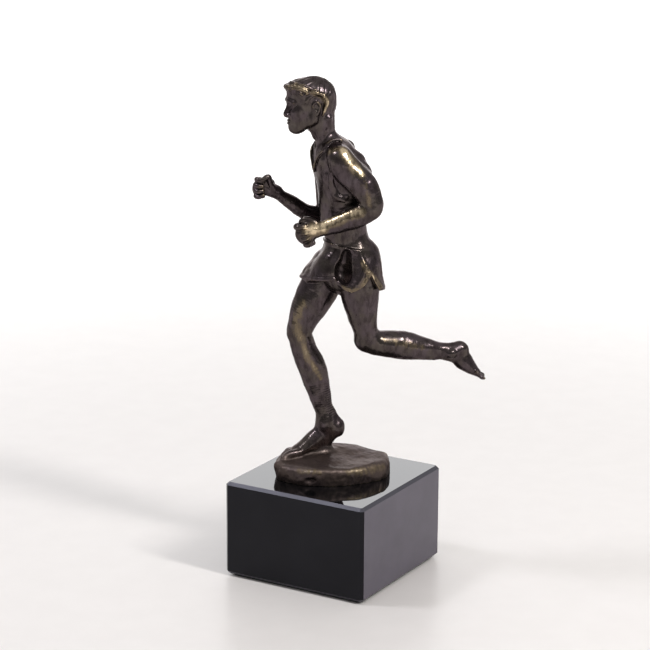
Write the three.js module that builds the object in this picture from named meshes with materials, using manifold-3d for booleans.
// Figure trophy: a cast bronze runner on an oval bronze ground, bolted to a polished black stone block.
// Millimetres, +Z up. The origin is the middle of the face that the trophy rests on, and the block's
// faces are square to X and Y. The runner is modelled in a frame of its own: x is the way they run,
// y is their left, and z is the height above the top of the block.

import * as THREE from "three";
import { mergeVertices } from "three/addons/utils/BufferGeometryUtils.js";
import Module from "manifold-3d";

const wasm = await Module();
wasm.setup();

// ---------------------------------------------------------------- driving dimensions

const BLOCK_SIDE = 80;
const BLOCK_TOP = 50;
const BLOCK_CHAMFER = 1.5;
const FELT_THICKNESS = 1;
const FELT_INSET = 2.5;
const FELT_CORNER = 3;

const HEADING = THREE.MathUtils.degToRad(225);

const GROUND_LENGTH = 60;
const GROUND_WIDTH = 43;
const GROUND_HEIGHT = 9.6;

const STUD_RADIUS = 2.5;
const STUD_LENGTH = 50;
const STUD_SPACING = 30;
const STUD_ENGAGEMENT = 6;
const STUD_CLEARANCE = 0.5;
const THREAD_GAP = 0.3;
const COUNTERBORE_RADIUS = 8.5;
const COUNTERBORE_DEPTH = 14;
const WASHER_RADIUS = 7.5;
const WASHER_THICKNESS = 1.2;
const SPRING_RADIUS = 4.4;
const SPRING_THICKNESS = 1.3;
const SPRING_SPLIT = 1.2;
const NUT_ACROSS_FLATS = 8;
const NUT_HEIGHT = 4;

const PEG_RADIUS = 3;
const PEG_DEPTH = 5.5;
const PEG_GAP = 0.3;
const PEG_AT = [12, -8];
const BRAZE_GAP = 0.05;

const HEAD_HEIGHT = 26.6;
const HEAD_CENTRE = [14.2, 0, 190.4];
const HEAD_TILT = THREE.MathUtils.degToRad(3);

const FIT_SIDES = 24;

// ---------------------------------------------------------------- solids

// A three.js geometry as a closed manifold-3d solid, with its faces outward.
function solid(geometry) {
  const bare = geometry.clone();
  bare.deleteAttribute("normal");
  bare.deleteAttribute("uv");
  const merged = mergeVertices(bare, 1e-4);
  const corners = merged.index.array;
  const triangles = [];
  for (let i = 0; i < corners.length; i += 3) {
    const [a, b, c] = corners.slice(i, i + 3);
    if (a !== b && b !== c && c !== a) triangles.push(a, b, c);
  }
  const build = (triVerts) =>
    new wasm.Manifold(
      new wasm.Mesh({ numProp: 3, vertProperties: merged.attributes.position.array, triVerts }),
    );
  const made = build(new Uint32Array(triangles));
  return made.volume() > 0 ? made : build(new Uint32Array(triangles.reverse()));
}

function join(solids) {
  return solids.reduce((whole, next) => whole.add(next));
}

// A manifold-3d solid as a named three.js mesh.
function meshOf(name, body, material) {
  const made = body.getMesh();
  const geometry = new THREE.BufferGeometry();
  const stride = made.numProp;
  const points = new Float32Array(made.numVert * 3);
  for (let i = 0; i < made.numVert; i++) {
    points.set(made.vertProperties.subarray(i * stride, i * stride + 3), i * 3);
  }
  geometry.setAttribute("position", new THREE.BufferAttribute(points, 3));
  geometry.setIndex(new THREE.BufferAttribute(made.triVerts, 1));
  geometry.computeVertexNormals();
  const mesh = new THREE.Mesh(geometry, material);
  mesh.name = name;
  return mesh;
}

// A cylinder along Z from one height to another.
function upright(radius, bottom, top, x = 0, y = 0, sides = FIT_SIDES) {
  const shape = new THREE.CylinderGeometry(radius, radius, top - bottom, sides);
  shape.rotateX(Math.PI / 2);
  shape.translate(x, y, (bottom + top) / 2);
  return solid(shape);
}

// An ellipsoid with its half sizes along its own axes, tilted about Y.
function ellipsoid(centre, half, tilt = 0, sides = 14, rings = 9) {
  const shape = new THREE.SphereGeometry(1, sides, rings);
  shape.rotateX(Math.PI / 2);
  shape.scale(...half);
  shape.rotateY(tilt);
  shape.translate(...centre);
  return solid(shape);
}

// A closed skin over a row of rings, each a centre and two half axes. The first and last rings are
// points. The rows and columns are those of a three.js sphere.
function loft(rings, sides) {
  const shape = new THREE.SphereGeometry(1, sides, rings.length - 1);
  const position = shape.attributes.position;
  const point = new THREE.Vector3();
  rings.forEach(({ centre, deep, wide }, row) => {
    for (let column = 0; column <= sides; column++) {
      const angle = (2 * Math.PI * (column % sides)) / sides;
      point.copy(centre).addScaledVector(deep, Math.cos(angle)).addScaledVector(wide, Math.sin(angle));
      position.setXYZ(row * (sides + 1) + column, point.x, point.y, point.z);
    }
  });
  return solid(shape);
}

// A limb runs through stations [x, y, z, half depth, half width] as a smooth tube of oval section.
// Its width lies along `across` and its depth is square to both. An end is round or flat.
function limb(stations, { sides = 12, steps = 2, across = [0, 1, 0], flatEnd = false } = {}) {
  const middles = stations.map(([x, y, z]) => new THREE.Vector3(x, y, z));
  const halves = stations.map(([, , , deep, wide]) => new THREE.Vector3(deep, wide ?? deep, 0));
  const line = new THREE.CatmullRomCurve3(middles);
  const sizes = new THREE.CatmullRomCurve3(halves);
  const widthwise = new THREE.Vector3(...across);
  const rows = (stations.length - 1) * steps;
  const ring = (t, scale = 1, beyond = 0) => {
    const tangent = line.getTangent(t);
    const wideAxis = widthwise.clone().addScaledVector(tangent, -tangent.dot(widthwise)).normalize();
    const deepAxis = new THREE.Vector3().crossVectors(wideAxis, tangent);
    const size = sizes.getPoint(t);
    return {
      centre: line.getPoint(t).addScaledVector(tangent, beyond * size.x),
      deep: deepAxis.multiplyScalar(size.x * scale),
      wide: wideAxis.multiplyScalar(size.y * scale),
    };
  };
  const CAP_ROWS = 2;
  const rings = [ring(0, 0, -1)];
  for (let k = 1; k < CAP_ROWS; k++) {
    const turn = (Math.PI / 2) * (k / CAP_ROWS);
    rings.push(ring(0, Math.sin(turn), -Math.cos(turn)));
  }
  for (let row = 0; row <= rows; row++) rings.push(ring(row / rows));
  if (!flatEnd) {
    for (let k = CAP_ROWS - 1; k > 0; k--) {
      const turn = (Math.PI / 2) * (k / CAP_ROWS);
      rings.push(ring(1, Math.sin(turn), Math.cos(turn)));
    }
  }
  rings.push(flatEnd ? ring(1, 0, 0) : ring(1, 0, 1));
  return loft(rings, sides);
}

// ---------------------------------------------------------------- the runner

function trunk() {
  return limb(
    [
      [-5, 0, 106, 12.5, 15],
      [-6, 0, 113, 13, 15],
      [-6.6, 0, 121, 11.2, 13.6],
      [-4.8, 0, 131, 10.9, 14],
      [-3.5, 0, 144, 11.7, 15.6],
      [-1.6, 0, 156, 12, 16.6],
      [-0.4, 0, 164.6, 9.8, 17],
      [1.6, 0, 170.4, 7, 11],
    ],
    { sides: 20 },
  );
}

// The singlet's hem stands proud of the shorts all the way round the waist.
function singletHem() {
  return limb(
    [
      [-6.7, 0, 117.4, 12, 14.4],
      [-6.6, 0, 119.6, 12.2, 14.6],
      [-6, 0, 125, 11.2, 14],
    ],
    { sides: 20 },
  );
}

function neck() {
  return limb(
    [
      [1.6, 0, 167, 7.4, 8.4],
      [4.1, 0, 171.6, 6.4, 6.6],
      [5.6, 0, 176, 5.8, 6.2],
      [7.6, 0, 182, 6.4, 6.6],
    ],
  );
}

// The shorts flare over the front thigh and the back thigh, and each leg ends in a cut hem.
function shorts() {
  const seat = limb(
    [
      [-6.5, 0, 119, 11.6, 14],
      [-5.4, 0, 112, 14.2, 16.2],
      [-4.2, 0, 104, 14.6, 16.4],
    ],
    { sides: 20, flatEnd: true },
  );
  const front = limb(
    [
      [-3.6, -5.6, 115, 11, 10],
      [-0.4, -7.2, 108.2, 12.2, 11],
      [2.8, -8.4, 100, 13.2, 11.4],
    ],
    { sides: 18, flatEnd: true },
  );
  const back = limb(
    [
      [-8, 5.6, 115, 11, 10],
      [-10, 7.4, 108.4, 12.6, 10.6],
      [-10.8, 8.8, 99.4, 12.8, 10.4],
    ],
    { sides: 18, flatEnd: true },
  );
  return join([seat, front, back]);
}

function plantedLeg() {
  const thigh = limb(
    [
      [0, -7.6, 106, 11, 10],
      [5.1, -8, 96.3, 10.6, 9.8],
      [11, -8.5, 85, 9, 8.4],
      [14.6, -9, 76, 6.9, 6.9],
      [14.6, -9, 69, 6.4, 6.6],
    ],
  );
  const shin = limb(
    [
      [14.8, -9, 74, 6, 6],
      [13.2, -9, 65, 6.7, 6.6],
      [9.1, -9, 54.8, 7.9, 7.6],
      [6.2, -8.5, 44, 6.5, 6.4],
      [3.8, -8, 34.1, 5, 4.8],
      [2, -8, 26, 5, 4.6],
    ],
  );
  return thigh.add(shin);
}

function trailingLeg() {
  const thigh = limb(
    [
      [-10, 7.6, 106, 10.6, 9.8],
      [-10.8, 8, 95.5, 9.7, 9.4],
      [-12.2, 8.5, 83, 7.4, 7.6],
      [-13.6, 9, 73, 6.4, 6.8],
    ],
  );
  const shin = limb(
    [
      [-13.6, 9, 71.4, 5.8, 6.2],
      [-24, 9, 69.4, 6.5, 6.6],
      [-33, 9, 67.8, 7.3, 7.4],
      [-42, 9, 66.2, 6.2, 6.2],
      [-51.9, 9, 64, 4.4, 4.4],
      [-59, 9, 62.6, 4.8, 4.4],
    ],
  );
  return thigh.add(shin);
}

// Five toes in a fan: the first is the big toe, on the side given by `inner` along y.
function toes(root, forward, down, inner) {
  const TOES = [
    [4.6, 1.9, 1],
    [2, 1.4, 1.02],
    [-0.4, 1.3, 0.9],
    [-2.7, 1.2, 0.72],
    [-4.7, 1.2, 0.5],
  ];
  const reach = 6;
  return join(
    TOES.map(([offset, radius, length]) => {
      const at = (far, drop) => [
        root[0] + forward[0] * far + down[0] * drop,
        root[1] + inner * offset,
        root[2] + forward[2] * far + down[2] * drop,
      ];
      return limb(
        [
          [...at(-2, -0.2), radius],
          [...at(reach * length * 0.5, -0.4), radius],
          [...at(reach * length, 0.3), radius * 0.8],
        ],
        { sides: 6, steps: 1 },
      );
    }),
  );
}

function plantedFoot() {
  const sole = limb(
    [
      [-3.4, -8, 22.6, 5, 4.8],
      [2, -8, 20.6, 5.6, 4.8],
      [9, -8, 16.4, 4.2, 5.2],
      [16, -8, 12.4, 2.8, 6.2],
      [20.5, -8, 11.2, 2, 5.6],
    ],
  );
  // Metal left between the arch and the ground, which carries the raised heel.
  const web = limb(
    [
      [1.6, -8, 20, 5, 3.6],
      [4, -8, 14.6, 4.6, 3.8],
      [6, -8, 8.4, 8.6, 6.2],
    ],
  );
  const fan = toes([20, -8, 11.2], [0.98, 0, -0.12], [-0.12, 0, -0.98], 1);
  return join([sole, web, fan]);
}

function trailingFoot() {
  const sole = limb(
    [
      [-62.6, 9, 64.4, 4, 4.2],
      [-64.2, 9, 58.8, 4.6, 4.6],
      [-68.6, 9, 54, 3.2, 5.4],
      [-72.4, 9, 51, 2, 5.4],
    ],
  );
  const fan = toes([-71.6, 9, 51.4], [-0.82, 0, -0.57], [-0.57, 0, 0.82], -1);
  return sole.add(fan);
}

function nearArm() {
  const upper = limb(
    [
      [1.4, 15.2, 165, 6.4, 6.2],
      [-2, 17.8, 160, 6.8, 6],
      [-8, 19.2, 152.6, 6.2, 5.6],
      [-12.6, 20.2, 143.6, 5.8, 5.4],
    ],
  );
  const fore = limb(
    [
      [-12.4, 20.2, 142, 5.6, 5.2],
      [-5.7, 18.6, 137.2, 5.4, 5],
      [1, 16.4, 134.4, 4.6, 4.4],
      [9, 13.8, 132, 4, 3.6],
    ],
    { across: [0, 0, 1] },
  );
  return upper.add(fore);
}

function farArm() {
  const upper = limb(
    [
      [0.4, -15.2, 164, 6.4, 6.2],
      [-0.6, -17.8, 158, 6.8, 6],
      [0, -20, 147, 5.8, 5.4],
      [0.6, -21, 134, 5.2, 5.2],
    ],
  );
  const fore = limb(
    [
      [0.8, -21, 132.6, 4.8, 5],
      [9, -19, 133.6, 4.4, 4.8],
      [17.6, -16.6, 138.4, 3.8, 4.2],
      [26, -14, 144.8, 3.2, 3.6],
    ],
    { across: [0, 0, 1] },
  );
  return upper.add(fore);
}

// A closed fist in the hand's frame: +x from the wrist to the knuckles, +y out of the back of the
// hand, +z to the thumb. Four fingers curl round to the palm and the thumb lies over the first.
function fist(wrist, forward, thumbward, outward, scale) {
  const palm = limb(
    [
      [-1, 0, 0, 3.4, 3.8],
      [3, 0, -0.4, 3.2, 5.4],
      [8, -0.4, -1.2, 3.2, 7],
    ],
    { across: [0, 0, 1] },
  );
  const fingers = [0, 1, 2, 3].map((i) => {
    const drop = 4.6 - i * 3.7;
    const reach = 1 - i * 0.7;
    return limb(
      [
        [7 + reach, 0.6, drop, 2],
        [11.4 + reach, 0.2, drop - 0.6, 2.1],
        [12.2 + reach, -4, drop - 0.8, 2],
        [8.4 + reach, -5.8, drop - 0.6, 1.8],
      ],
      { sides: 7, across: [0, 0, 1] },
    );
  });
  const thumb = limb(
    [
      [2.4, -1.6, 4.6, 2.2],
      [7, -3.4, 6.6, 2.1],
      [12, -4.6, 6.4, 1.8],
    ],
    { sides: 8 },
  );
  const place = new THREE.Matrix4().makeBasis(
    new THREE.Vector3(...forward).normalize().multiplyScalar(scale),
    new THREE.Vector3(...outward).normalize().multiplyScalar(scale),
    new THREE.Vector3(...thumbward).normalize().multiplyScalar(scale),
  );
  place.setPosition(...wrist);
  return join([palm, ...fingers, thumb]).transform(place.elements);
}

// The head is set out from its own height: eyes at half height, and the brow, the base of the nose
// and the chin a third of the face apart. x is forward, z is up, and the centre is the origin.
function head() {
  const unit = HEAD_HEIGHT / 2;
  const at = (x, y, z) => [x * unit, y * unit, z * unit];
  const bead = (x, y, z, a, b, c) => ellipsoid(at(x, y, z), at(a, b, c), 0, 10, 6);
  const bar = (stations) =>
    limb(
      stations.map(([x, y, z, half]) => [...at(x, y, z), half * unit]),
      { sides: 8, across: [0, 0, 1] },
    );
  const nose = limb(
    [
      [...at(0.72, 0, 0.12), 0.1 * unit, 0.08 * unit],
      [...at(0.76, 0, -0.08), 0.15 * unit, 0.09 * unit],
      [...at(0.76, 0, -0.22), 0.2 * unit, 0.15 * unit],
    ],
    { sides: 8 },
  );
  const brow = bar([
    [0.64, -0.36, 0.16, 0.09],
    [0.76, 0, 0.16, 0.1],
    [0.64, 0.36, 0.16, 0.09],
  ]);
  const lips = bar([
    [0.66, -0.16, -0.5, 0.05],
    [0.73, 0, -0.5, 0.08],
    [0.66, 0.16, -0.5, 0.05],
  ]);
  const pairs = [1, -1].flatMap((side) => [
    bead(0.64, 0.25 * side, 0.02, 0.12, 0.13, 0.07),
    bead(-0.04, 0.66 * side, -0.06, 0.15, 0.08, 0.24),
  ]);
  return join([skull(unit), nose, brow, lips, ...pairs, hair(unit, at)])
    .rotate([0, THREE.MathUtils.radToDeg(HEAD_TILT), 0])
    .translate(HEAD_CENTRE);
}

// Level sections of the head from the chin to the crown: height, centre, half depth and half width.
function skull(unit, swell = 0, lowest = -1) {
  const sections = [
    [-0.96, 0.52, 0.12, 0.12],
    [-0.86, 0.46, 0.27, 0.26],
    [-0.66, 0.3, 0.42, 0.42],
    [-0.44, 0.12, 0.58, 0.52],
    [-0.2, -0.02, 0.74, 0.6],
    [0.08, -0.1, 0.84, 0.66],
    [0.34, -0.13, 0.88, 0.69],
    [0.6, -0.14, 0.8, 0.63],
    [0.8, -0.13, 0.62, 0.48],
    [0.93, -0.12, 0.38, 0.29],
  ].filter(([z]) => z >= lowest);
  const level = (z, x, deep, wide) => ({
    centre: new THREE.Vector3(x * unit, 0, z * unit),
    deep: new THREE.Vector3(deep * unit, 0, 0),
    wide: new THREE.Vector3(0, wide * unit, 0),
  });
  const grown = sections.map(([z, x, deep, wide]) => level(z, x, deep + swell, wide + swell));
  const [bottom, bottomX] = sections[0];
  const chin = level(bottom - 0.04, bottomX, 0, 0);
  const crown = level(1 + swell, -0.12, 0, 0);
  return loft([chin, ...grown, crown], 18);
}

// Short hair: a cap over the skull, longest at the nape, and a fringe swept across the forehead.
function hair(unit, at) {
  const cap = skull(unit, 0.045, -0.3);
  const front = new THREE.BoxGeometry(3 * unit, 3 * unit, 2 * unit);
  front.rotateY(-0.9);
  front.translate(1.02 * unit, 0, -0.72 * unit);
  const fringe = limb(
    [
      [...at(0.1, 0.62, 0.4), 0.12 * unit],
      [...at(0.52, 0.4, 0.56), 0.16 * unit],
      [...at(0.68, 0, 0.62), 0.17 * unit],
      [...at(0.5, -0.44, 0.5), 0.14 * unit],
    ],
    { sides: 8, across: [0, 0, 1] },
  );
  return cap.subtract(solid(front)).add(fringe);
}

// Everything under the ground's top is cut away, and a peg under the ball of the foot goes into it.
function runner() {
  const figure = join([
    trunk(),
    singletHem(),
    neck(),
    head(),
    shorts(),
    plantedLeg(),
    plantedFoot(),
    trailingLeg(),
    trailingFoot(),
    nearArm(),
    fist([8.6, 13.6, 131.6], [0.95, -0.26, -0.2], [0.2, 0, 0.98], [0.26, 0.96, 0], 1.02),
    farArm(),
    fist([28, -14, 145], [0.98, 0.1, 0.2], [-0.2, 0, 0.98], [0.1, -0.99, 0], 0.7),
  ]);
  const below = new THREE.BoxGeometry(4 * GROUND_LENGTH, 4 * GROUND_LENGTH, 2 * GROUND_HEIGHT);
  below.translate(0, 0, BRAZE_GAP);
  const peg = upright(PEG_RADIUS, GROUND_HEIGHT - PEG_DEPTH, GROUND_HEIGHT + 1, ...PEG_AT, 16);
  return figure.subtract(solid(below)).add(peg);
}

// ---------------------------------------------------------------- the ground

// An oval cake of bronze with an uneven wall that overhangs its foot, and a flat top.
function ground() {
  const profile = [
    [0, 0],
    [0.9, 0],
    [0.955, 0.12],
    [0.95, 0.36],
    [0.985, 0.62],
    [0.99, 0.82],
    [0.94, 0.96],
    [0.88, 1],
    [0, 1],
  ].map(([out, up]) => new THREE.Vector2(out, up));
  const shape = new THREE.LatheGeometry(profile, 48);
  shape.rotateX(Math.PI / 2);
  const position = shape.attributes.position;
  for (let i = 0; i < position.count; i++) {
    const uneven = wallWobble(Math.atan2(position.getY(i), position.getX(i)));
    position.setXYZ(
      i,
      (position.getX(i) * uneven * GROUND_LENGTH) / 2,
      (position.getY(i) * uneven * GROUND_WIDTH) / 2,
      position.getZ(i) * GROUND_HEIGHT,
    );
  }
  const holes = [pegSocket(), ...studPlaces().map(tappedHole)];
  return holes.reduce((body, hole) => body.subtract(hole), solid(shape));
}

// How far the wall of the ground stands out at a turn about its middle, as a share of its radius.
function wallWobble(turn) {
  const broad = 0.016 * Math.sin(3 * turn + 0.6) + 0.012 * Math.sin(5 * turn + 2);
  const fine = 0.008 * Math.sin(11 * turn);
  return 1 + broad + fine;
}

function pegSocket() {
  const floor = GROUND_HEIGHT - PEG_DEPTH - PEG_GAP;
  const [x, y] = PEG_AT;
  return upright(PEG_RADIUS + PEG_GAP, floor, GROUND_HEIGHT + 1, x, y, 16);
}

function tappedHole(along) {
  return upright(STUD_RADIUS + THREAD_GAP, -1, STUD_ENGAGEMENT + THREAD_GAP, along);
}

function studPlaces() {
  return [STUD_SPACING / 2, -STUD_SPACING / 2];
}

// ---------------------------------------------------------------- the block and its felt

// A square prism with every edge bevelled.
function bevelledBlock(side, bottom, top, bevel) {
  const half = side / 2;
  const inner = half - bevel;
  const outline = new THREE.Shape();
  outline.moveTo(-inner, -half);
  outline.lineTo(inner, -half);
  outline.lineTo(half, -inner);
  outline.lineTo(half, inner);
  outline.lineTo(inner, half);
  outline.lineTo(-inner, half);
  outline.lineTo(-half, inner);
  outline.lineTo(-half, -inner);
  const shape = new THREE.ExtrudeGeometry(outline, {
    depth: top - bottom - 2 * bevel,
    bevelEnabled: true,
    bevelThickness: bevel,
    bevelSize: bevel,
    bevelOffset: -bevel,
    bevelSegments: 1,
  });
  shape.translate(0, 0, bottom + bevel);
  return solid(shape);
}

function block() {
  const bottom = FELT_THICKNESS;
  const body = bevelledBlock(BLOCK_SIDE, bottom, BLOCK_TOP, BLOCK_CHAMFER);
  return studPlaces().reduce((stone, along) => {
    const x = along * Math.cos(HEADING);
    const y = along * Math.sin(HEADING);
    const bore = upright(STUD_RADIUS + STUD_CLEARANCE, bottom - 1, BLOCK_TOP + 1, x, y);
    const counterbore = upright(COUNTERBORE_RADIUS, bottom - 1, bottom + COUNTERBORE_DEPTH, x, y);
    return stone.subtract(bore).subtract(counterbore);
  }, body);
}

function felt() {
  const half = BLOCK_SIDE / 2 - FELT_INSET;
  const outline = new THREE.Shape();
  outline.moveTo(-half + FELT_CORNER, -half);
  outline.absarc(half - FELT_CORNER, -half + FELT_CORNER, FELT_CORNER, -Math.PI / 2, 0);
  outline.absarc(half - FELT_CORNER, half - FELT_CORNER, FELT_CORNER, 0, Math.PI / 2);
  outline.absarc(-half + FELT_CORNER, half - FELT_CORNER, FELT_CORNER, Math.PI / 2, Math.PI);
  outline.absarc(-half + FELT_CORNER, -half + FELT_CORNER, FELT_CORNER, Math.PI, 1.5 * Math.PI);
  const sheet = { depth: FELT_THICKNESS, bevelEnabled: false, curveSegments: 6 };
  return solid(new THREE.ExtrudeGeometry(outline, sheet));
}

// ---------------------------------------------------------------- fixings

// A length of M5 thread with bevelled ends, from `bottom` upwards.
function stud(bottom) {
  const bevel = 0.6;
  const profile = [
    [0, 0],
    [STUD_RADIUS - bevel, 0],
    [STUD_RADIUS, bevel],
    [STUD_RADIUS, STUD_LENGTH - bevel],
    [STUD_RADIUS - bevel, STUD_LENGTH],
    [0, STUD_LENGTH],
  ].map(([out, up]) => new THREE.Vector2(out, up));
  const shape = new THREE.LatheGeometry(profile, FIT_SIDES);
  shape.rotateX(Math.PI / 2);
  shape.translate(0, 0, bottom);
  return solid(shape);
}

// A flat ring around the stud, from `top` downwards.
function ring(outer, thickness, top) {
  const disc = upright(outer, top - thickness, top);
  const hole = upright(STUD_RADIUS + THREAD_GAP, top - thickness - 1, top + 1);
  return disc.subtract(hole);
}

function springWasher(top) {
  const split = new THREE.BoxGeometry(2 * SPRING_RADIUS, SPRING_SPLIT, 3 * SPRING_THICKNESS);
  split.translate(SPRING_RADIUS, 0, top - SPRING_THICKNESS / 2);
  return ring(SPRING_RADIUS, SPRING_THICKNESS, top).subtract(solid(split));
}

// A hexagon nut: a six-sided prism with its corners turned back to a cone at both ends.
function nut(top) {
  const corner = NUT_ACROSS_FLATS / Math.sqrt(3);
  const flat = NUT_ACROSS_FLATS / 2;
  const bevel = 0.5;
  const profile = [
    [0, 0],
    [flat, 0],
    [corner, bevel],
    [corner, NUT_HEIGHT - bevel],
    [flat, NUT_HEIGHT],
    [0, NUT_HEIGHT],
  ].map(([out, up]) => new THREE.Vector2(out, up));
  const turned = new THREE.LatheGeometry(profile, FIT_SIDES);
  turned.rotateX(Math.PI / 2);
  turned.translate(0, 0, top - NUT_HEIGHT);
  const hexagon = upright(corner, top - NUT_HEIGHT, top, 0, 0, 6);
  const bore = upright(STUD_RADIUS + THREAD_GAP, top - NUT_HEIGHT - 1, top + 1);
  return solid(turned).intersect(hexagon).subtract(bore);
}

// ---------------------------------------------------------------- materials

const bronze = () => new THREE.MeshStandardMaterial({ color: 0x3a3128, roughness: 0.38, metalness: 0.9 });
const stone = () => new THREE.MeshStandardMaterial({ color: 0x121113, roughness: 0.06, metalness: 0 });
const steel = () => new THREE.MeshStandardMaterial({ color: 0xa8a9ab, roughness: 0.35, metalness: 1 });
const cloth = () => new THREE.MeshStandardMaterial({ color: 0x1b1b1d, roughness: 1, metalness: 0 });

// ---------------------------------------------------------------- the trophy

// One stud with its washer, spring washer and nut, stacked down from the top of the counterbore.
function fixing(where, along) {
  const group = new THREE.Group();
  group.position.x = along;
  const seat = FELT_THICKNESS + COUNTERBORE_DEPTH - BLOCK_TOP;
  const springTop = seat - WASHER_THICKNESS;
  const nutTop = springTop - SPRING_THICKNESS;
  group.add(
    meshOf(`stud_${where}`, stud(STUD_ENGAGEMENT - STUD_LENGTH), steel()),
    meshOf(`washer_${where}`, ring(WASHER_RADIUS, WASHER_THICKNESS, seat), steel()),
    meshOf(`spring_washer_${where}`, springWasher(springTop), steel()),
    meshOf(`nut_${where}`, nut(nutTop), steel()),
  );
  return group;
}

const bronzeGroup = new THREE.Group();
bronzeGroup.position.z = BLOCK_TOP;
bronzeGroup.rotation.z = HEADING;
const [frontStud, rearStud] = studPlaces();
bronzeGroup.add(
  meshOf("runner_figure", runner(), bronze()),
  meshOf("ground", ground(), bronze()),
  fixing("front", frontStud),
  fixing("rear", rearStud),
);

const trophy = new THREE.Group();
trophy.add(meshOf("base_block", block(), stone()), meshOf("base_felt", felt(), cloth()), bronzeGroup);

export default trophy;
